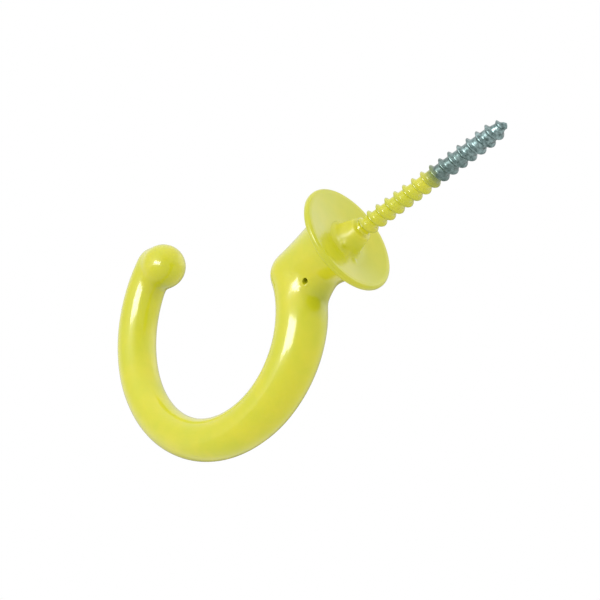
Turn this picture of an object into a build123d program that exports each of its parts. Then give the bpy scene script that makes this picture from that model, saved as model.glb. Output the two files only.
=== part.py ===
from build123d import *
import os
from math import atan2, cos, degrees, radians, sin

os.makedirs("parts", exist_ok=True)

# Screw-in wall hook: a cast hook with a ball end, a dished rosette, a conical collar and a
# wood screw that is cast into the hook's shank.
# The origin is the centre of the rosette's rim, on the wall. +Y runs into the wall along the
# screw, -Y runs out into the room, +Z is up and the hook bends in the plane X = 0. Millimetres.

# Rosette: a dished disc whose rim alone touches the wall
RIM_RADIUS = 11.0
RIM_THICKNESS = 1.5
RIM_ROUND = 0.35
LAND_WIDTH = 0.9
DISH_DEPTH = 1.0
DISH_BULGE = 0.25
SEAT_RADIUS = 4.4
HUB_FRONT = -2.6
HUB_RADIUS = 7.2
SPIGOT_RADIUS = 3.2
SPIGOT_CLEARANCE = 0.03

# Hook: elbow, shank and a tapering rod bent through three tangent arcs (radius, sweep in degrees)
ELBOW_Y = -14.6
ELBOW_Z = 0.35
ELBOW_RADIUS = 5.0
ROD_START_HEADING = -83.5
ROD_BENDS = ((20.2, 91.0), (23.8, 39.4), (25.9, 108.9))
ROD_RADII = (4.9, 4.75, 4.17, 3.93, 3.77)
SHANK_START_RADIUS = 4.97
SHANK_WAIST_RADIUS = 6.15
SHANK_WAIST_Y = -7.0
SHANK_WAIST_Z = 0.25
THROAT_ALONG = 0.085
THROAT_BEND = 8.0
THROAT_RADII = (4.3, 4.6, 4.0)
BALL_RADIUS = 4.6
BALL_AHEAD = 0.7
BALL_INWARD = 2.5
BALL_CREASE_ROUND = 1.0

# Screw: a tang held in the shank, a plain neck and a coarse wood thread with a gimlet point
NECK_RADIUS = 1.75
TANG_END = -12.4
GROOVE_START = -8.6
GROOVE_WIDTH = 1.2
GROOVE_DEPTH = 0.4
CAST_GAP = 0.02
CORE_RADIUS = 1.45
CREST_RADIUS = 2.1
PITCH = 2.31
RUN_IN_TURNS = 1
THREAD_TURNS = 13
POINT_TURNS = 1.5
THREAD_START = 3.9
POINT_END = 40.2
THREAD_ROOT_WIDTH = 1.5
THREAD_CREST_WIDTH = 0.14
THREAD_SINK = 0.25
RUN_IN_SCALE = 0.3
POINT_SCALE = 0.5

# Collar: a conical sleeve on the neck, which holds the rosette against the shank
COLLAR_BASE_RADIUS = 3.4
COLLAR_NOSE_RADIUS = 2.35
COLLAR_NOSE_Y = 3.3
COLLAR_BASE_HEIGHT = 0.5
COLLAR_CLEARANCE = 0.03
COLLAR_BASE_ROUND = 0.3
COLLAR_NOSE_ROUND = 0.2

# Locating-pin hole that the mould leaves in the elbow's flank, down to the tang
PIN_HOLE_RADIUS = 0.5
PIN_HOLE_Y = -10.05
PIN_HOLE_ANGLE = -53.4

THREAD_END = THREAD_START + PITCH * (RUN_IN_TURNS + THREAD_TURNS)
AXIS_OUT = (0, 1, 0)


def section_plane(y, z=0.0):
    """A plane across the screw at y, centred at a height z, with its own x along X."""
    return Plane(origin=(0, y, z), x_dir=(1, 0, 0), z_dir=AXIS_OUT)


def path_plane(path, along):
    """A plane across a path in the plane of the bend, at a fraction of the path's length."""
    return Plane(origin=path @ along, x_dir=(1, 0, 0), z_dir=path % along)


def spaced(radii):
    """Pair each radius with its fraction of a path, for radii spaced evenly from end to end."""
    return [(station / (len(radii) - 1), radius) for station, radius in enumerate(radii)]


def tang_profile(gap):
    """Half the tang's outline from its end to the wall plane, larger all round by a gap."""
    radius = NECK_RADIUS + gap
    waist = radius - GROOVE_DEPTH
    with BuildSketch(Plane.XY, mode=Mode.PRIVATE) as profile:
        with BuildLine():
            Polyline(
                (0, TANG_END - gap),
                (radius, TANG_END - gap),
                (radius, GROOVE_START - GROOVE_DEPTH),
                (waist, GROOVE_START),
                (waist, GROOVE_START + GROOVE_WIDTH),
                (radius, GROOVE_START + GROOVE_WIDTH + GROOVE_DEPTH),
                (radius, 0),
                (0, 0),
                close=True,
            )
        make_face()
    return profile.sketch


# --- Rosette -------------------------------------------------------------------------------
with BuildPart() as rosette:
    with BuildSketch(Plane.XY) as rosette_profile:
        with BuildLine():
            bore = SPIGOT_RADIUS + SPIGOT_CLEARANCE
            land = RIM_RADIUS - RIM_ROUND - LAND_WIDTH
            floor = Line((bore, -DISH_DEPTH), (SEAT_RADIUS, -DISH_DEPTH))
            dish = SagittaArc(floor @ 1, (land, 0), -DISH_BULGE)
            rim = Line(dish @ 1, (RIM_RADIUS, 0))
            edge = Line(rim @ 1, (RIM_RADIUS, -RIM_THICKNESS))
            front = Line(edge @ 1, (HUB_RADIUS, HUB_FRONT))
            seat = Line(front @ 1, (bore, HUB_FRONT))
            Line(seat @ 1, floor @ 0)
        make_face()
        fillet(rosette_profile.vertices().group_by(Axis.X)[-1], RIM_ROUND)
    revolve(axis=Axis.Y)
rosette.part.label = "rosette"

# --- Cast hook -----------------------------------------------------------------------------
with BuildPart() as cast_hook:
    heading = radians(ROD_START_HEADING)
    with BuildLine(Plane.YZ) as bend_line:
        point = (ELBOW_Y, ELBOW_Z)
        direction = (cos(heading), sin(heading))
        for bend_radius, sweep_angle in ROD_BENDS:
            bend = JernArc(point, direction, bend_radius, -sweep_angle)
            point = bend @ 1
            direction = bend % 1
    rod_path = bend_line.wire()
    for along, rod_radius in spaced(ROD_RADII):
        with BuildSketch(path_plane(rod_path, along)):
            Circle(rod_radius)
    sweep(path=rod_path, multisection=True)
    with Locations((0, ELBOW_Y, ELBOW_Z)):
        Sphere(ELBOW_RADIUS)

    # Rounded rod end, with the ball ahead of it and on the inside of the bend
    rod_end = rod_path @ 1
    end_heading = rod_path % 1
    inward = Vector(0, end_heading.Z, -end_heading.Y)
    ball_centre = rod_end + end_heading * BALL_AHEAD + inward * BALL_INWARD
    with Locations(rod_end):
        Sphere(ROD_RADII[-1])
    with Locations(ball_centre):
        Sphere(BALL_RADIUS)
    crease_point = ball_centre + inward * BALL_RADIUS / 2 - end_heading * BALL_RADIUS
    fillet(cast_hook.edges().sort_by_distance(crease_point)[0], BALL_CREASE_ROUND)

    # Shank: flares from the elbow to the seat that the rosette sits against
    with BuildSketch(section_plane(ELBOW_Y, ELBOW_Z)):
        Circle(SHANK_START_RADIUS)
    with BuildSketch(section_plane(SHANK_WAIST_Y, SHANK_WAIST_Z)):
        Circle(SHANK_WAIST_RADIUS)
    with BuildSketch(section_plane(HUB_FRONT)):
        Circle(HUB_RADIUS)
    loft()
    with BuildSketch(section_plane(HUB_FRONT)):
        Circle(SPIGOT_RADIUS)
    extrude(amount=-HUB_FRONT - DISH_DEPTH)

    # Throat: a swelling that fills the corner between the rod and the underside of the shank
    throat_start = rod_path @ THROAT_ALONG
    throat_tangent = (rod_path % THROAT_ALONG) * -1
    throat_turn = degrees(atan2(throat_tangent.Z, throat_tangent.Y))
    with BuildLine(Plane.YZ) as throat_line:
        JernArc(
            (throat_start.Y, throat_start.Z),
            (throat_tangent.Y, throat_tangent.Z),
            THROAT_BEND,
            -throat_turn,
        )
    throat_path = throat_line.wire()
    for along, throat_radius in spaced(THROAT_RADII):
        with BuildSketch(path_plane(throat_path, along)):
            Circle(throat_radius)
    sweep(path=throat_path, multisection=True)

    # Seat that the molten metal leaves around the screw's tang
    revolve(tang_profile(CAST_GAP), axis=Axis.Y, mode=Mode.SUBTRACT)

    # Hole that the mould's locating pin leaves, from the flank down to the tang
    pin_angle = radians(PIN_HOLE_ANGLE)
    pin_direction = (cos(pin_angle), 0, sin(pin_angle))
    with BuildSketch(Plane(origin=(0, PIN_HOLE_Y, 0), x_dir=AXIS_OUT, z_dir=pin_direction)):
        Circle(PIN_HOLE_RADIUS)
    extrude(amount=ELBOW_RADIUS * 2, mode=Mode.SUBTRACT)
cast_hook.part.label = "cast_hook"

# --- Collar --------------------------------------------------------------------------------
with BuildPart() as collar:
    collar_bore = NECK_RADIUS + COLLAR_CLEARANCE
    base_corner = (COLLAR_BASE_RADIUS, -DISH_DEPTH + COLLAR_BASE_HEIGHT)
    nose_corner = (COLLAR_NOSE_RADIUS, COLLAR_NOSE_Y)
    with BuildSketch(Plane.XY) as collar_profile:
        with BuildLine():
            Polyline(
                (collar_bore, -DISH_DEPTH),
                (COLLAR_BASE_RADIUS, -DISH_DEPTH),
                base_corner,
                nose_corner,
                (collar_bore, COLLAR_NOSE_Y),
                close=True,
            )
        make_face()
        for corner, corner_round in ((base_corner, COLLAR_BASE_ROUND), (nose_corner, COLLAR_NOSE_ROUND)):
            fillet(collar_profile.vertices().sort_by_distance(corner)[0], corner_round)
    revolve(axis=Axis.Y)
collar.part.label = "collar"

# --- Screw ---------------------------------------------------------------------------------
with BuildPart() as wood_screw:
    revolve(tang_profile(0), axis=Axis.Y)
    with BuildSketch(Plane.XY):
        with BuildLine():
            Polyline(
                (0, 0),
                (NECK_RADIUS, 0),
                (NECK_RADIUS, THREAD_START),
                (CORE_RADIUS, THREAD_START + NECK_RADIUS - CORE_RADIUS),
                (CORE_RADIUS, THREAD_END),
                (0, POINT_END),
                close=True,
            )
        make_face()
    revolve(axis=Axis.Y)
    # The thread runs in from the neck, keeps its full height, and fades along the point
    point_cone = -degrees(atan2(CORE_RADIUS, POINT_END - THREAD_END))
    runs = (
        (THREAD_START, RUN_IN_TURNS, 0, RUN_IN_SCALE, 1),
        (THREAD_START + PITCH * RUN_IN_TURNS, THREAD_TURNS, 0, 1, 1),
        (THREAD_END, POINT_TURNS, point_cone, 1, POINT_SCALE),
    )
    for run_start, turns, cone_angle, first_scale, last_scale in runs:
        with BuildLine() as run_line:
            Helix(PITCH, PITCH * turns, CORE_RADIUS, (0, run_start, 0), AXIS_OUT, cone_angle)
        run_path = run_line.wire()
        for along, scale in ((0, first_scale), (1, last_scale)):
            place = run_path @ along
            radial = Vector(place.X, 0, place.Z).normalized()
            root = THREAD_ROOT_WIDTH * scale / 2
            crest = THREAD_CREST_WIDTH * scale / 2
            height = (CREST_RADIUS - CORE_RADIUS) * scale
            sink = -THREAD_SINK * scale
            with BuildSketch(Plane(origin=place, x_dir=radial, z_dir=run_path % along)):
                with BuildLine():
                    Polyline((sink, -root), (height, -crest), (height, crest), (sink, root), close=True)
                make_face()
        sweep(path=run_path, is_frenet=True, multisection=True)
wood_screw.part.label = "wood_screw"

for piece in (rosette, cast_hook, collar, wood_screw):
    print(piece.part.label, round(piece.part.volume, 2), piece.part.is_valid, len(piece.part.solids()))
    export_step(piece.part, f"parts/{piece.part.label}.step")
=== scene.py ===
import math

import bmesh
import bpy
import numpy as np
from mathutils import Matrix, Vector, noise


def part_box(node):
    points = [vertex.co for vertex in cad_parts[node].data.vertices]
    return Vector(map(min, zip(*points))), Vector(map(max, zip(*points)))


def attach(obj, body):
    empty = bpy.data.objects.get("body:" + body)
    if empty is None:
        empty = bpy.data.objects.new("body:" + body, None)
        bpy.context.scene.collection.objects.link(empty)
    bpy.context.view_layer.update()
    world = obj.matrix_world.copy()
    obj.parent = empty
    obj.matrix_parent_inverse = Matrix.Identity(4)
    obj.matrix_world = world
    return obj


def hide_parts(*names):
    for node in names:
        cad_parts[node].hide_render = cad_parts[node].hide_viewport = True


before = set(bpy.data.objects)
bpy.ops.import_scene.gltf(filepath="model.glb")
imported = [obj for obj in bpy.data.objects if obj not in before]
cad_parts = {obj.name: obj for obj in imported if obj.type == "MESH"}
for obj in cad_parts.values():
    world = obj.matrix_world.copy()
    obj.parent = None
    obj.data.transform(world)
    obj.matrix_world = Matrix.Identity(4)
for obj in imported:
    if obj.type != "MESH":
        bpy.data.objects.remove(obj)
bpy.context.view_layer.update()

# The frame: +Y runs into the wall along the screw, +Z is up, and the hook bends in the plane X = 0.
# Blender works in metres. Sizes below are in millimetres, and MM turns them into metres.
MM = 0.001
BODY = "root"

# Camera: it looks up at the object, from the side of it that faces the wall
AIM = Vector((3.55, -12.34, -7.88)) * MM
CAMERA_AZIMUTH = 128.09
CAMERA_ELEVATION = -31.44
CAMERA_ROLL = -13.57
CAMERA_DISTANCE = 450.0
CAMERA_LENS = 143.3

# Hook skin: the distance within which its points are welded, how far from the screw's axis the
# seat's faces reach, how finely it is remeshed, how far its creases are softened, and its lacquer
CASTING_WELD = 0.001
SEAT_REACH = 1.9
SKIN_VOXEL = 0.3
SKIN_RELAX = 30
LACQUER_FILM = 0.07
WAVINESS = 0.035
WAVE_SIZE = 7.0
WAVE_SEED = 1.0

# Soft hollows in the casting: x, y, z, radius and height. The waist under the elbow has one in
# each flank, and a deeper one reaches the locating-pin hole from below.
WAIST_HOLLOWS = [(4.0, -13.1, -7.3, 1.9, -0.22), (-4.0, -13.1, -7.3, 1.9, -0.22)]
PIT_SINK = [(2.8, -10.5, -5.4, 2.0, -0.45)]

# Hole of the mould's locating pin, in the flank of the elbow: its place, its wall and its lip
PIT_Y = -10.05
PIT_ANGLE = -53.4
PIT_RADIUS = 0.44
PIT_MARGIN = 1.2
PIT_WALL = 0.10
PIT_DEPTH = 2.2
PIT_LIP_RADIUS = 0.78
PIT_LIP_WIDTH = 0.2
PIT_LIP_HEIGHT = 0.03

# Mesh round the hole: how far out it is finer, how often it is split, and the share of that reach
# over which it is fully relaxed
PIT_REGION = 1.6
PIT_SPLITS = 2
PIT_CORE = 0.7

# Lacquer on the rosette and the collar: x, y, z, radius and height. The rosette has one drop. The
# collar has two, and a flat where the film has sagged.
ROSETTE_DROPS = [(-0.95, -1.0, -4.36, 0.5, 0.25)]
COLLAR_DROPS = [(2.5, 0.2, -2.8, 0.7, 0.45), (0.9, -0.5, -3.7, 0.5, 0.25), (2.9, 1.9, 0.2, 1.2, -0.2)]

# Lathed meshes: segments in a turn, the longest step along an outline, how many times finer its
# arcs are, and the fewest steps in an arc
LATHE_SEGMENTS = 240
LATHE_STEP = 0.3
ARC_FINENESS = 3
ARC_LEAST_STEPS = 4

# Rosette and collar, where the frame's boxes don't give the size
RIM_THICKNESS = 1.5
RIM_LAND = 0.9
DISH_DEPTH = 1.0
SPIGOT_RADIUS = 3.2
NECK_RADIUS = 1.75
NOSE_RADIUS = 2.35
COLLAR_STEP = 0.5

# Screw thread: its size, where it grows out of the neck and where the point begins
PITCH = 2.31
CORE_RADIUS = 1.45
THREAD_START = 3.1
THREAD_FULL = 4.4
NECK_END = THREAD_START - 0.3
CORE_START = THREAD_START + 0.6
CREST_START = THREAD_START - 0.4
POINT_START = 36.24
ROOT_WIDTH = 1.2
CREST_WIDTH = 0.12
FLANK_HOLLOW = 1.3

# The point: the core's radius at distances from the tip, how far from the tip the crest's last
# steep fall begins, and the share of its height that is left there
POINT_CORE = [(1.8, 1.15), (0.5, 0.55), (0.0, 0.0)]
LAST_CREST = 0.7
LAST_HEIGHT = 0.85

# The share of the CAD thread's greatest radius from which a point counts as on its crest
CREST_SHARE = 0.985

# Screw mesh: steps in a turn, points across a pitch, the chamfer on the tang's end, the distance
# within which points are welded, and the shortest edge that is kept
SCREW_STEPS = 72
PROFILE_KNOTS = 18
TANG_CHAMFER = 0.1
SCREW_WELD = 0.002
SHORTEST_EDGE = 0.0001


# --- Mesh helpers --------------------------------------------------------------------------
def relax(points, edges, rounds, share=1.0):
    """Move each point half way towards the mean of its neighbours, a number of times."""
    ends = np.concatenate([edges, edges[:, ::-1]])
    count = np.maximum(np.bincount(ends[:, 0], minlength=len(points)), 1)[:, None]
    for _ in range(rounds):
        sums = [np.bincount(ends[:, 0], points[ends[:, 1], axis], len(points)) for axis in range(3)]
        points = points + 0.5 * share * (np.stack(sums, axis=1) / count - points)
    return points


def mesh_arrays(mesh):
    """The points, edges and point normals of a mesh, as arrays."""
    points = np.empty(len(mesh.vertices) * 3)
    mesh.vertices.foreach_get("co", points)
    edges = np.empty(len(mesh.edges) * 2, int)
    mesh.edges.foreach_get("vertices", edges)
    normals = np.empty(len(mesh.vertices) * 3)
    mesh.vertex_normals.foreach_get("vector", normals)
    return points.reshape(-1, 3), edges.reshape(-1, 2), normals.reshape(-1, 3)


def set_points(mesh, points):
    """Write an array of points back into a mesh."""
    mesh.vertices.foreach_set("co", points.astype(np.float32).ravel())
    mesh.update()


def waves(points, size, seed):
    """A smooth value from -1 to 1 at each point, which changes over a size in millimetres."""
    offset = Vector((seed, 2.7 * seed, 5.1 * seed))
    return np.array([noise.noise(Vector(p) / (size * MM) + offset) for p in points])


def mounds(points, places):
    """The height at each point of soft round mounds at (x, y, z, radius, height), in millimetres."""
    height = np.zeros(len(points))
    for x, y, z, radius, top in places:
        distance = np.linalg.norm(points / MM - np.array((x, y, z)), axis=1)
        height += top * np.exp(-((distance / radius) ** 2))
    return height


def add_piece(name, mesh, replaced, material):
    """Make a smooth shaded piece that stands for one CAD node and rides on the body."""
    piece = bpy.data.objects.new(name, mesh)
    bpy.context.scene.collection.objects.link(piece)
    mesh.shade_smooth()
    mesh.materials.clear()
    mesh.materials.append(material)
    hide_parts(replaced)
    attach(piece, BODY)
    return piece


# --- Hook ----------------------------------------------------------------------------------
def pit_axis():
    """The point on the screw's axis and the direction that the locating-pin hole follows."""
    angle = math.radians(PIT_ANGLE)
    return np.array((0, PIT_Y * MM, 0)), np.array((math.cos(angle), 0, math.sin(angle)))


def pit_distance(points):
    """How far each point is from the hole's axis, and how far along it, in millimetres."""
    origin, direction = pit_axis()
    along = (points - origin) @ direction
    across = np.linalg.norm(points - origin - along[:, None] * direction, axis=1)
    return across / MM, along / MM


def closed_casting():
    """The casting's outer shape, with the screw's seat and the pin hole closed."""
    bm = bmesh.new()
    bm.from_mesh(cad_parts["cast_hook"].data)
    bmesh.ops.remove_doubles(bm, verts=bm.verts, dist=CASTING_WELD * MM)
    inner = []
    for face in bm.faces:
        corners = np.array([v.co for v in face.verts])
        in_seat = np.hypot(corners[:, 0], corners[:, 2]).max() < SEAT_REACH * MM
        across, along = pit_distance(corners)
        if in_seat or (across.max() < PIT_RADIUS * PIT_MARGIN and along.min() > 0):
            inner.append(face)
    bmesh.ops.delete(bm, geom=inner, context="FACES")
    bmesh.ops.holes_fill(bm, edges=[edge for edge in bm.edges if edge.is_boundary])
    mesh = bpy.data.meshes.new("casting")
    bm.to_mesh(mesh)
    bm.free()
    return mesh


def remeshed(mesh, voxel):
    """The mesh rebuilt from even quads, as a new mesh."""
    holder = bpy.data.objects.new("remesh", mesh)
    bpy.context.scene.collection.objects.link(holder)
    remesh = holder.modifiers.new("even_quads", "REMESH")
    remesh.mode = "VOXEL"
    remesh.voxel_size = voxel * MM
    shape = holder.evaluated_get(bpy.context.evaluated_depsgraph_get())
    result = bpy.data.meshes.new_from_object(shape)
    bpy.data.objects.remove(holder)
    return result


def refine_pit(mesh):
    """Split the quads around the pin hole, so that its wall and lip come out round."""
    bm = bmesh.new()
    bm.from_mesh(mesh)
    for level in range(PIT_SPLITS):
        across, along = pit_distance(np.array([v.co for v in bm.verts]))
        bm.verts.index_update()
        reach = PIT_REGION / (1 + level)
        near = (across < reach) & (along > 0)
        edges = [edge for edge in bm.edges if near[edge.verts[0].index] and near[edge.verts[1].index]]
        bmesh.ops.subdivide_edges(bm, edges=edges, cuts=1, use_grid_fill=True)
    bm.to_mesh(mesh)
    bm.free()
    mesh.update()


def smooth_step(low, high, values):
    """0 below low, 1 above high, and a smooth change between them."""
    t = np.clip((values - low) / (high - low), 0, 1)
    return t * t * (3 - 2 * t)


def hook_mesh():
    """The casting's skin under its lacquer: soft creases, a little waviness and the pin hole."""
    mesh = remeshed(closed_casting(), SKIN_VOXEL)
    points, edges, _ = mesh_arrays(mesh)
    points = relax(points, edges, SKIN_RELAX)
    set_points(mesh, points)
    refine_pit(mesh)

    points, edges, _ = mesh_arrays(mesh)
    across, along = pit_distance(points)
    outside = along > 0
    near_pit = (1 - smooth_step(PIT_REGION * PIT_CORE, PIT_REGION, across)) * outside
    points = relax(points, edges, SKIN_RELAX // 2, near_pit[:, None])
    set_points(mesh, points)

    points, _, normals = mesh_arrays(mesh)
    film = LACQUER_FILM + WAVINESS * waves(points, WAVE_SIZE, WAVE_SEED)
    film += mounds(points, WAIST_HOLLOWS + PIT_SINK)
    points = points + normals * film[:, None] * MM
    depth = PIT_DEPTH * (1 - smooth_step(PIT_RADIUS - PIT_WALL, PIT_RADIUS + PIT_WALL, across))
    lip = PIT_LIP_HEIGHT * np.exp(-(((across - PIT_LIP_RADIUS) / PIT_LIP_WIDTH) ** 2))
    points = points - pit_axis()[1] * ((depth - lip) * outside)[:, None] * MM
    set_points(mesh, np.clip(points, *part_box("cast_hook")))
    return mesh


# --- Rosette and collar --------------------------------------------------------------------
def rounded(corners):
    """A closed outline through (radius, y, rounding) corners, with arcs at the rounded ones."""
    outline = []
    for index, (radius, y, rounding) in enumerate(corners):
        corner = Vector((radius, y))
        before = (Vector(corners[index - 1][:2]) - corner).normalized()
        after = (Vector(corners[(index + 1) % len(corners)][:2]) - corner).normalized()
        half_turn = before.angle(after) / 2
        if rounding == 0:
            outline.append(corner)
            continue
        tangent = rounding / math.tan(half_turn)
        centre = corner + (before + after).normalized() * rounding / math.sin(half_turn)
        start = corner + before * tangent - centre
        end = corner + after * tangent - centre
        steps = max(ARC_LEAST_STEPS, round(start.angle(end) * rounding / LATHE_STEP * ARC_FINENESS))
        for step in range(steps + 1):
            arm = start.lerp(end, step / steps).normalized() * rounding
            outline.append(centre + arm)
    return outline


def even_outline(outline):
    """The outline with its long runs divided into short ones."""
    result = []
    for start, end in zip(outline, outline[1:] + outline[:1]):
        parts = max(1, math.ceil((end - start).length / LATHE_STEP))
        result += [start.lerp(end, part / parts) for part in range(parts)]
    return result


def lathe(name, corners):
    """A closed solid of revolution about the screw's axis."""
    outline = even_outline(rounded(corners))
    bm = bmesh.new()
    rings = []
    for segment in range(LATHE_SEGMENTS):
        turn = 2 * math.pi * segment / LATHE_SEGMENTS
        arm = Vector((math.cos(turn), 0, math.sin(turn)))
        rings.append([bm.verts.new((arm * point.x + Vector((0, point.y, 0))) * MM) for point in outline])
    for ring, following in zip(rings, rings[1:] + rings[:1]):
        for index in range(len(outline)):
            after = (index + 1) % len(outline)
            bm.faces.new((ring[index], ring[after], following[after], following[index]))
    bmesh.ops.recalc_face_normals(bm, faces=bm.faces)
    mesh = bpy.data.meshes.new(name)
    bm.to_mesh(mesh)
    bm.free()
    return mesh


def pool_lacquer(mesh, thickness, size, seed, drops):
    """Give a lathed piece an uneven film, up to its outline, with round drops and flats."""
    points, _, normals = mesh_arrays(mesh)
    film = thickness * (waves(points, size, seed) - 1) + mounds(points, drops)
    set_points(mesh, points + normals * film[:, None] * MM)


def rosette_mesh():
    """The dished disc, with the lacquer that fills the corner between its front and the shank."""
    low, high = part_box("rosette")
    rim = high.x / MM
    front = low.y / MM
    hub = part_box("cast_hook")[1].x / MM

    # The outline in three parts: radius, y and rounding of each corner
    dish = [
        (SPIGOT_RADIUS, -DISH_DEPTH, 0),
        (rim - 5.9, -DISH_DEPTH, 9.0),
        (rim - RIM_LAND - 0.25, -0.03, 0.6),
    ]
    rounded_rim = [
        (rim - 0.45, 0, 0.4),
        (rim, -0.35, 0.4),
        (rim, -RIM_THICKNESS + 0.3, 0.55),
        (rim - 0.9, -RIM_THICKNESS - 0.2, 0.6),
    ]
    lacquer_on_shank = [
        (hub + 0.1, front, 0.9),
        (hub - 0.15, front - 1.1, 0.1),
        (hub - 0.9, front - 0.9, 0.1),
        (SPIGOT_RADIUS, front, 0),
    ]
    mesh = lathe("rosette", dish + rounded_rim + lacquer_on_shank)
    pool_lacquer(mesh, thickness=0.03, size=4.0, seed=2.0, drops=ROSETTE_DROPS)
    return mesh


def collar_mesh():
    """The conical sleeve, with lacquer filling the corners at its base and its nose."""
    low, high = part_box("collar")
    base = high.x / MM
    foot = low.y / MM
    nose = high.y / MM

    # The outline in three parts: radius, y and rounding of each corner
    foot_fillet = [
        (NECK_RADIUS - 0.1, foot - 0.06, 0),
        (base + 0.9, foot - 0.06, 0),
        (base + 0.25, foot + 0.12, 1.2),
    ]
    cone = [
        (base - 0.05, foot + COLLAR_STEP + 0.3, 0.8),
        (NOSE_RADIUS + 0.05, nose - 0.2, 0.45),
    ]
    nose_fillet = [
        (CORE_RADIUS + 0.1, nose + 0.12, 0.3),
        (CORE_RADIUS - 0.2, nose + 0.3, 0),
        (CORE_RADIUS - 0.2, foot + 0.5, 0),
    ]
    mesh = lathe("collar", foot_fillet + cone + nose_fillet)
    pool_lacquer(mesh, thickness=0.05, size=2.2, seed=3.0, drops=COLLAR_DROPS)
    return mesh


# --- Screw ---------------------------------------------------------------------------------
def thread_phase():
    """Where the CAD thread's crest stands: its place along the axis at turn 0, in pitches."""
    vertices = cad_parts["wood_screw"].data.vertices
    points = np.array([v.co for v in vertices]) / MM
    radii = np.hypot(points[:, 0], points[:, 2])
    on_crest = radii > radii.max() * CREST_SHARE
    full_height = (points[:, 1] > THREAD_FULL) & (points[:, 1] < POINT_START)
    crest = points[on_crest & full_height]
    turns = np.arctan2(crest[:, 2], crest[:, 0]) / (2 * math.pi)
    best = (0, 0, 1)
    for hand in (1, -1):
        pitches = crest[:, 1] / PITCH - hand * turns
        mean = np.exp(2j * math.pi * pitches).mean()
        best = max(best, (abs(mean), np.angle(mean) / (2 * math.pi), hand))
    return best[1], best[2]


def screw_radius(y, pitches_from_crest, crest_radius, tip):
    """The radius of the thread at a place along the axis, by how far it is from a crest."""
    point_places = [tip - distance for distance, _ in POINT_CORE]
    point_radii = [radius for _, radius in POINT_CORE]
    core = np.interp(
        y,
        [NECK_END, CORE_START, POINT_START] + point_places,
        [NECK_RADIUS, CORE_RADIUS, CORE_RADIUS] + point_radii,
    )
    height = np.interp(
        y,
        [CREST_START, THREAD_FULL, POINT_START, tip - LAST_CREST, tip],
        [0.0, 1.0, 1.0, LAST_HEIGHT, 0.0],
    ) * (crest_radius - CORE_RADIUS)
    from_crest = np.abs(pitches_from_crest) * PITCH
    flank = np.clip((from_crest - CREST_WIDTH / 2) / (ROOT_WIDTH / 2 - CREST_WIDTH / 2), 0, 1)
    return core + height * (1 - flank) ** FLANK_HOLLOW


def screw_mesh():
    """The screw from its tang to its point, with the thread as one helical strip of quads."""
    low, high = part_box("wood_screw")
    tang = low.y / MM
    tip = high.y / MM
    crest_radius = high.x / MM
    phase, hand = thread_phase()
    knots = np.arange(PROFILE_KNOTS) / PROFILE_KNOTS
    first = THREAD_START - PITCH
    turns = math.ceil((tip - first) / PITCH) + 1
    rows = turns * SCREW_STEPS + 1

    bm = bmesh.new()
    strip = []
    for row in range(rows):
        turn = row / SCREW_STEPS
        angle = hand * 2 * math.pi * turn
        y = first + PITCH * (turn + knots - 1)
        from_crest = (y / PITCH - hand * angle / (2 * math.pi) - phase + 0.5) % 1 - 0.5
        y = np.clip(y, first, tip)
        radius = screw_radius(y, from_crest, crest_radius, tip)
        places = [Vector((r * math.cos(angle), v, r * math.sin(angle))) * MM for r, v in zip(radius, y)]
        strip.append([bm.verts.new(place) for place in places])
    for row in range(rows - 1):
        for knot in range(PROFILE_KNOTS):
            if knot < PROFILE_KNOTS - 1:
                outer = strip[row][knot + 1]
                next_outer = strip[row + 1][knot + 1]
            elif row + SCREW_STEPS + 1 < rows:
                outer = strip[row + SCREW_STEPS][0]
                next_outer = strip[row + SCREW_STEPS + 1][0]
            else:
                continue
            bm.faces.new((strip[row][knot], outer, next_outer, strip[row + 1][knot]))

    # Neck and tang: plain rings from the thread's first ring to the flat end
    neck = [(NECK_RADIUS, first), (NECK_RADIUS, tang + TANG_CHAMFER), (NECK_RADIUS - TANG_CHAMFER, tang)]
    angles = [2 * math.pi * step / SCREW_STEPS for step in range(SCREW_STEPS)]
    rings = []
    for radius, y in neck:
        places = [Vector((radius * math.cos(a), y, radius * math.sin(a))) * MM for a in angles]
        rings.append([bm.verts.new(place) for place in places])
    for ring, following in zip(rings, rings[1:]):
        for step in range(SCREW_STEPS):
            after = (step + 1) % SCREW_STEPS
            bm.faces.new((ring[step], following[step], following[after], ring[after]))
    bm.faces.new(rings[-1])
    bmesh.ops.remove_doubles(bm, verts=bm.verts, dist=SCREW_WELD * MM)
    bmesh.ops.dissolve_degenerate(bm, dist=SHORTEST_EDGE * MM, edges=bm.edges)
    bmesh.ops.recalc_face_normals(bm, faces=bm.faces)
    mesh = bpy.data.meshes.new("wood_screw")
    bm.to_mesh(mesh)
    bm.free()
    return mesh


# --- Materials -----------------------------------------------------------------------------
def add_node(tree, kind, inputs=None, **settings):
    """Add a shader node, set its properties, and set or link its inputs by name or number."""
    node = tree.nodes.new(kind)
    for name, value in settings.items():
        setattr(node, name, value)
    for socket, value in (inputs or {}).items():
        if isinstance(value, bpy.types.NodeSocket):
            tree.links.new(value, node.inputs[socket])
        else:
            node.inputs[socket].default_value = value
    return node


def math_node(tree, operation, first, second=0.0, third=0.0, clamp=False):
    """A math node's result."""
    inputs = {0: first, 1: second, 2: third}
    return add_node(tree, "ShaderNodeMath", inputs, operation=operation, use_clamp=clamp).outputs[0]


def mix_colour(tree, share, first, second):
    """A mix of two colours."""
    inputs = {"Factor": share, "A": first, "B": second}
    node = tree.nodes.new("ShaderNodeMix")
    node.data_type = "RGBA"
    for name, value in inputs.items():
        socket = next(s for s in node.inputs if s.name == name and (name == "Factor" or s.type == "RGBA"))
        if isinstance(value, bpy.types.NodeSocket):
            tree.links.new(value, socket)
        else:
            socket.default_value = value
    return next(s for s in node.outputs if s.type == "RGBA")


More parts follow.
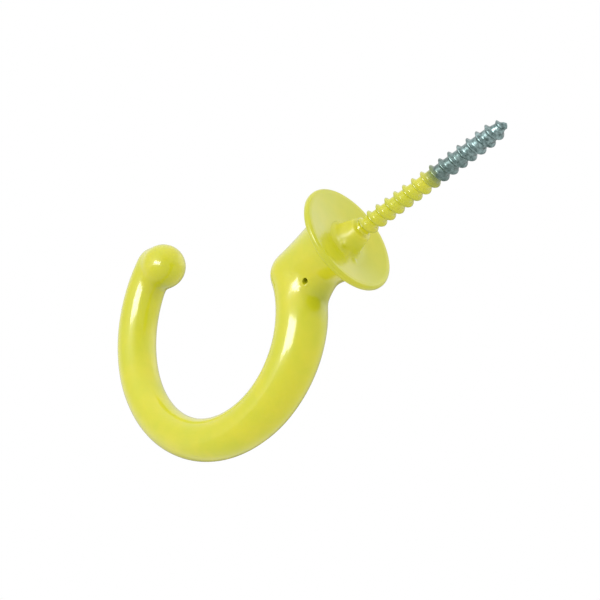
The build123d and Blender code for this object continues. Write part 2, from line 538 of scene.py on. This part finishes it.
def texture_noise(tree, place, size, detail=3.0, roughness=0.5):
    """A noise pattern whose features have a size in millimetres, from 0 to 1."""
    inputs = {"Vector": place, "Scale": 1 / (size * MM), "Detail": detail, "Roughness": roughness}
    return add_node(tree, "ShaderNodeTexNoise", inputs).outputs["Fac"]


def ramp(tree, value, low, high, to_low=0.0, to_high=1.0):
    """A value mapped from one range to another, clamped."""
    inputs = {"Value": value, "From Min": low, "From Max": high, "To Min": to_low, "To Max": to_high}
    return add_node(tree, "ShaderNodeMapRange", inputs).outputs["Result"]


# Lacquer colours, by how deep the film lies, with the darkest also painted shade in corners, and zinc
# colours: clean, tarnished, and a darker green near the coat's end
LACQUER_BRIGHT = (0.800, 0.745, 0.021, 1)
LACQUER_DEEP = (0.705, 0.712, 0.016, 1)
LACQUER_POOL_AND_SHADE = (0.500, 0.535, 0.016, 1)
LACQUER_THIN = (0.230, 0.300, 0.055, 1)
ZINC_LIGHT = (0.33, 0.46, 0.46, 1)
ZINC_DARK = (0.07, 0.12, 0.115, 1)
ZINC_NEAR_COAT = (0.10, 0.155, 0.125, 1)

# Coat roughness on the hook, the rosette and the collar
SMOOTH_COAT = 0.14
DISC_COAT = 0.3
HEAVY_COAT = 0.46

# Pooled lacquer and painted shade: how near a corner the occlusion darkens the lacquer and how deep
# it gets there. Spots of painted shade behind the elbow and under the ball: x, y, z, reach and depth
CREASE_REACH = 2.2
CREASE_POOL_AND_SHADE = 0.7
PAINTED_SHADE_SPOTS = [(-0.3, -9.9, -7.6, 5.0, 1.0), (0.3, -48.2, 18.2, 4.2, 1.0)]

# Lacquer's surface: how much mottle there is, how high a nib stands against the orange peel, and
# the strength and height of the relief
MOTTLE_SHARE = 0.35
NIB_HEIGHT = 0.6
PEEL_STRENGTH = 0.35
PEEL_HEIGHT = 0.03

# Coat on the screw: about where it ends, a third of the length over which it fades, how ragged its
# edge is, and its wear between two radii near the crest. Then how many of those thirds past its
# end the zinc is darker and greener, and the greatest share of that tone.
COAT_END = 22.6
COAT_FADE = 1.2
COAT_RAGGED = 1.6
WEAR_START = 1.8
WEAR_FULL = 2.1
CREST_WEAR = 0.16
NEAR_COAT_FADES = 9
NEAR_COAT_SHARE = 0.6

# Zinc's surface: the strength and height of its grain
GRAIN_STRENGTH = 0.5
GRAIN_HEIGHT = 0.02


def lacquer_colour(tree, place, least_shade_share):
    """Lemon lacquer: slow drifts in depth, a deeper tone in corners from pooled lacquer and painted shade,
    and spots of painted shade.
    """
    drift = ramp(tree, texture_noise(tree, place, size=9.0, detail=2.0), 0.35, 0.65)
    mottle = ramp(tree, texture_noise(tree, place, size=1.6), 0.3, 0.7, to_high=MOTTLE_SHARE)
    depth = math_node(tree, "ADD", drift, mottle, clamp=True)
    base = mix_colour(tree, depth, LACQUER_BRIGHT, LACQUER_DEEP)
    # Occlusion darkens corners toward the pooled tone: partly lacquer that pools there, partly painted
    # shade
    hollow = add_node(tree, "ShaderNodeAmbientOcclusion", {"Distance": CREASE_REACH * MM}, samples=8)
    openness = hollow.outputs["AO"]
    pool_and_shade = ramp(tree, openness, 0.85, 0.25, to_low=least_shade_share, to_high=CREASE_POOL_AND_SHADE)
    # Spots of painted shade behind the elbow and under the ball, darker towards their centres
    for x, y, z, reach, most in PAINTED_SHADE_SPOTS:
        centre = Vector((x, y, z)) * MM
        distance = add_node(tree, "ShaderNodeVectorMath", {0: place, 1: centre}, operation="DISTANCE")
        spot_shade = ramp(tree, distance.outputs["Value"], reach * MM, 0.0, to_high=most)
        pool_and_shade = math_node(tree, "ADD", pool_and_shade, spot_shade, clamp=True)
    return mix_colour(tree, pool_and_shade, base, LACQUER_POOL_AND_SHADE)


def lacquer_material(name, coat_roughness, least_shade_share):
    """Glossy sprayed lacquer with orange peel and a few nibs of dust."""
    material = bpy.data.materials.new(name)
    material.use_nodes = True
    tree = material.node_tree
    shader = tree.nodes["Principled BSDF"]
    place = add_node(tree, "ShaderNodeTexCoord").outputs["Object"]
    tree.links.new(lacquer_colour(tree, place, least_shade_share), shader.inputs["Base Color"])
    haze_noise = texture_noise(tree, place, size=3.0, detail=4.0)
    haze = ramp(tree, haze_noise, 0.3, 0.7, to_low=0.28, to_high=0.40)
    tree.links.new(haze, shader.inputs["Roughness"])
    peel = texture_noise(tree, place, size=1.1, detail=2.0)
    nibs = ramp(tree, texture_noise(tree, place, size=0.5, detail=1.0), 0.74, 0.80)
    height = math_node(tree, "ADD", peel, math_node(tree, "MULTIPLY", nibs, NIB_HEIGHT))
    relief = {"Strength": PEEL_STRENGTH, "Distance": PEEL_HEIGHT * MM, "Height": height}
    bump = add_node(tree, "ShaderNodeBump", relief)
    tree.links.new(bump.outputs["Normal"], shader.inputs["Normal"])
    shader.inputs["IOR"].default_value = 1.5
    shader.inputs["Specular IOR Level"].default_value = 0.2
    shader.inputs["Coat Weight"].default_value = 1.0
    shader.inputs["Coat Roughness"].default_value = coat_roughness
    return material


def screw_material():
    """Bare zinc plate, with the lacquer over its inner half fading out over a pitch and a half."""
    material = bpy.data.materials.new("plated_and_lacquered")
    material.use_nodes = True
    tree = material.node_tree
    shader = tree.nodes["Principled BSDF"]
    place = add_node(tree, "ShaderNodeTexCoord").outputs["Object"]
    axes = add_node(tree, "ShaderNodeSeparateXYZ", {0: place})
    x_squared = math_node(tree, "MULTIPLY", axes.outputs["X"], axes.outputs["X"])
    z_squared = math_node(tree, "MULTIPLY", axes.outputs["Z"], axes.outputs["Z"])
    radius = math_node(tree, "SQRT", math_node(tree, "ADD", x_squared, z_squared))

    ragged = math_node(tree, "MULTIPLY", texture_noise(tree, place, size=1.4), COAT_RAGGED * MM)
    reach = math_node(tree, "ADD", axes.outputs["Y"], ragged)
    coated = ramp(tree, reach, (COAT_END + 2 * COAT_FADE) * MM, (COAT_END - COAT_FADE) * MM)
    crest_wear = ramp(tree, radius, WEAR_START * MM, WEAR_FULL * MM, to_high=CREST_WEAR)
    cover = math_node(tree, "MULTIPLY", coated, math_node(tree, "SUBTRACT", 1.0, crest_wear))

    tarnish = ramp(tree, texture_noise(tree, place, size=0.7, detail=4.0, roughness=0.6), 0.35, 0.65)
    bare = mix_colour(tree, tarnish, ZINC_LIGHT, ZINC_DARK)
    # The zinc turns darker and greener for a stretch past the coat's end, fading towards the tip
    near_coat_start = (COAT_END + COAT_FADE) * MM
    near_coat_end = (COAT_END + NEAR_COAT_FADES * COAT_FADE) * MM
    near_coat_tone = ramp(tree, reach, near_coat_end, near_coat_start, to_high=NEAR_COAT_SHARE)
    zinc = mix_colour(tree, near_coat_tone, bare, ZINC_NEAR_COAT)
    thin = mix_colour(tree, ramp(tree, cover, 0.15, 0.4), zinc, LACQUER_THIN)
    colour = mix_colour(tree, ramp(tree, cover, 0.5, 1.0), thin, lacquer_colour(tree, place, 0.0))
    tree.links.new(colour, shader.inputs["Base Color"])
    metal = ramp(tree, cover, 0.1, 0.4, to_low=1.0, to_high=0.0)
    tree.links.new(metal, shader.inputs["Metallic"])
    rough_zinc = ramp(tree, texture_noise(tree, place, size=0.5), 0.3, 0.7, to_low=0.28, to_high=0.5)
    rough = add_node(tree, "ShaderNodeMix", {0: cover, 2: rough_zinc, 3: 0.24}, data_type="FLOAT")
    tree.links.new(rough.outputs[0], shader.inputs["Roughness"])
    grain = texture_noise(tree, place, size=0.25)
    relief = {"Strength": GRAIN_STRENGTH, "Distance": GRAIN_HEIGHT * MM, "Height": grain}
    bump = add_node(tree, "ShaderNodeBump", relief)
    tree.links.new(bump.outputs["Normal"], shader.inputs["Normal"])
    shader.inputs["Coat Weight"].default_value = 0.6
    shader.inputs["Coat Roughness"].default_value = 0.18
    return material


# --- Studio --------------------------------------------------------------------------------
# Broad panels round the object: azimuth and elevation in the camera's own axes, and strength
PANEL_FALLOFF = 4.0
PANELS = [
    (0, 90, 0.70),
    (-60, 45, 0.70),
    (60, 45, 0.60),
    (180, 45, 0.70),
    (-45, 5, 1.65),
    (-135, 5, 0.80),
    (90, 5, 0.85),
    (135, 5, 0.50),
    (-90, -40, 0.80),
]

# Rectangular lights that show only in the gloss: azimuth and elevation in the camera's own axes,
# distance, width and height in metres, and radiance
SOFTBOXES = {
    "key": (-42, 21, 0.28, 0.18, 0.085, 13.0),
    "dish_sheen": (121, 20, 0.6, 0.5, 0.34, 0.45),
}

# The floor, in metres, and its two tones
FLOOR_REACH = 12.0
FLOOR_Z = -0.6
FLOOR_LIGHT = (0.84, 0.84, 0.83, 1)
FLOOR_DARK = (0.80, 0.80, 0.79, 1)


def camera_axes():
    """The direction back to the camera, and its rotation as a matrix."""
    azimuth, elevation = math.radians(CAMERA_AZIMUTH), math.radians(CAMERA_ELEVATION)
    flat = math.cos(elevation)
    back = Vector((math.sin(azimuth) * flat, -math.cos(azimuth) * flat, math.sin(elevation)))
    level = (-back).to_track_quat("-Z", "Y").to_matrix()
    return back, level @ Matrix.Rotation(math.radians(CAMERA_ROLL), 3, "Z")


def add_camera():
    """The camera at the viewing angle, with its roll."""
    back, rotation = camera_axes()
    data = bpy.data.cameras.new("camera")
    data.lens = CAMERA_LENS
    data.sensor_width = 36.0
    data.clip_start = 0.01
    data.clip_end = 40.0
    camera = bpy.data.objects.new("camera", data)
    camera.matrix_world = Matrix.Translation(AIM + back * CAMERA_DISTANCE * MM) @ rotation.to_4x4()
    bpy.context.scene.collection.objects.link(camera)
    bpy.context.scene.camera = camera


def from_camera(azimuth, elevation):
    """A direction in the camera's own axes: 0, 0 points back at it, and azimuth 90 to its right."""
    side, lift = math.radians(azimuth), math.radians(elevation)
    return Vector((math.sin(side) * math.cos(lift), math.sin(lift), math.cos(side) * math.cos(lift)))


def add_softbox(name, azimuth, elevation, distance, width, height, radiance):
    """A rectangular light that faces the object, and shows in its gloss without lighting its colour."""
    _, rotation = camera_axes()
    toward = rotation @ from_camera(azimuth, elevation)
    data = bpy.data.lights.new(name, "AREA")
    data.shape = "RECTANGLE"
    data.size = width
    data.size_y = height
    data.energy = radiance * math.pi * width * height
    light = bpy.data.objects.new(name, data)
    up = rotation @ Vector((0, 1, 0))
    facing = toward.normalized()
    right = up.cross(facing).normalized()
    turn = Matrix((right, facing.cross(right), facing)).transposed()
    light.matrix_world = Matrix.Translation(AIM + toward * distance) @ turn.to_4x4()
    light.visible_camera = False
    light.visible_diffuse = False
    bpy.context.scene.collection.objects.link(light)


def add_world():
    """A white backdrop for the camera, and a soft surround made of broad panels for the light."""
    world = bpy.data.worlds.new("studio")
    bpy.context.scene.world = world
    world.use_nodes = True
    tree = world.node_tree
    tree.nodes.clear()
    _, rotation = camera_axes()
    direction = add_node(tree, "ShaderNodeTexCoord").outputs["Generated"]
    strength = 0.0
    for azimuth, elevation, panel_strength in PANELS:
        toward = rotation @ from_camera(azimuth, elevation)
        facing = add_node(tree, "ShaderNodeVectorMath", {0: direction, 1: toward}, operation="DOT_PRODUCT")
        lit = math_node(tree, "MAXIMUM", facing.outputs["Value"], 0.0)
        glow = math_node(tree, "POWER", lit, PANEL_FALLOFF)
        strength = math_node(tree, "MULTIPLY_ADD", glow, panel_strength, strength)
    surround = add_node(tree, "ShaderNodeBackground", {"Color": (1, 1, 1, 1), "Strength": strength})
    backdrop = add_node(tree, "ShaderNodeBackground", {"Color": (1, 1, 1, 1), "Strength": 1.0})
    seen = add_node(tree, "ShaderNodeLightPath").outputs["Is Camera Ray"]
    shaders = {0: seen, 1: surround.outputs[0], 2: backdrop.outputs[0]}
    mixed = add_node(tree, "ShaderNodeMixShader", shaders)
    add_node(tree, "ShaderNodeOutputWorld", {"Surface": mixed.outputs[0]})


def add_floor():
    """A plain pale floor, far below the object and out of the main view, which looks up."""
    mesh = bpy.data.meshes.new("floor")
    turns = [(-1, -1), (1, -1), (1, 1), (-1, 1)]
    corners = [(x * FLOOR_REACH, y * FLOOR_REACH, FLOOR_Z) for x, y in turns]
    mesh.from_pydata(corners, [], [(0, 1, 2, 3)])
    floor = bpy.data.objects.new("floor", mesh)
    material = bpy.data.materials.new("floor")
    material.use_nodes = True
    tree = material.node_tree
    shader = tree.nodes["Principled BSDF"]
    place = add_node(tree, "ShaderNodeTexCoord").outputs["Object"]
    tone = mix_colour(tree, texture_noise(tree, place, size=90.0), FLOOR_DARK, FLOOR_LIGHT)
    tree.links.new(tone, shader.inputs["Base Color"])
    shader.inputs["Roughness"].default_value = 0.8
    mesh.materials.append(material)
    bpy.context.scene.collection.objects.link(floor)


smooth_lacquer = lacquer_material("smooth_lacquer", SMOOTH_COAT, 0.0)
# The rosette's lacquer takes a quarter share of the pooled tone all over: painted shade on the whole dish
shaded_disc_lacquer = lacquer_material("shaded_disc_lacquer", DISC_COAT, 0.25)
heavy_lacquer = lacquer_material("heavy_lacquer", HEAVY_COAT, 0.0)
add_piece("lacquered_hook", hook_mesh(), "cast_hook", smooth_lacquer)
add_piece("lacquered_rosette", rosette_mesh(), "rosette", shaded_disc_lacquer)
add_piece("lacquered_collar", collar_mesh(), "collar", heavy_lacquer)
add_piece("plated_wood_screw", screw_mesh(), "wood_screw", screw_material())

add_camera()
add_world()
add_floor()
for name, settings in SOFTBOXES.items():
    add_softbox(name, *settings)
bpy.context.scene.view_settings.view_transform = "Standard"
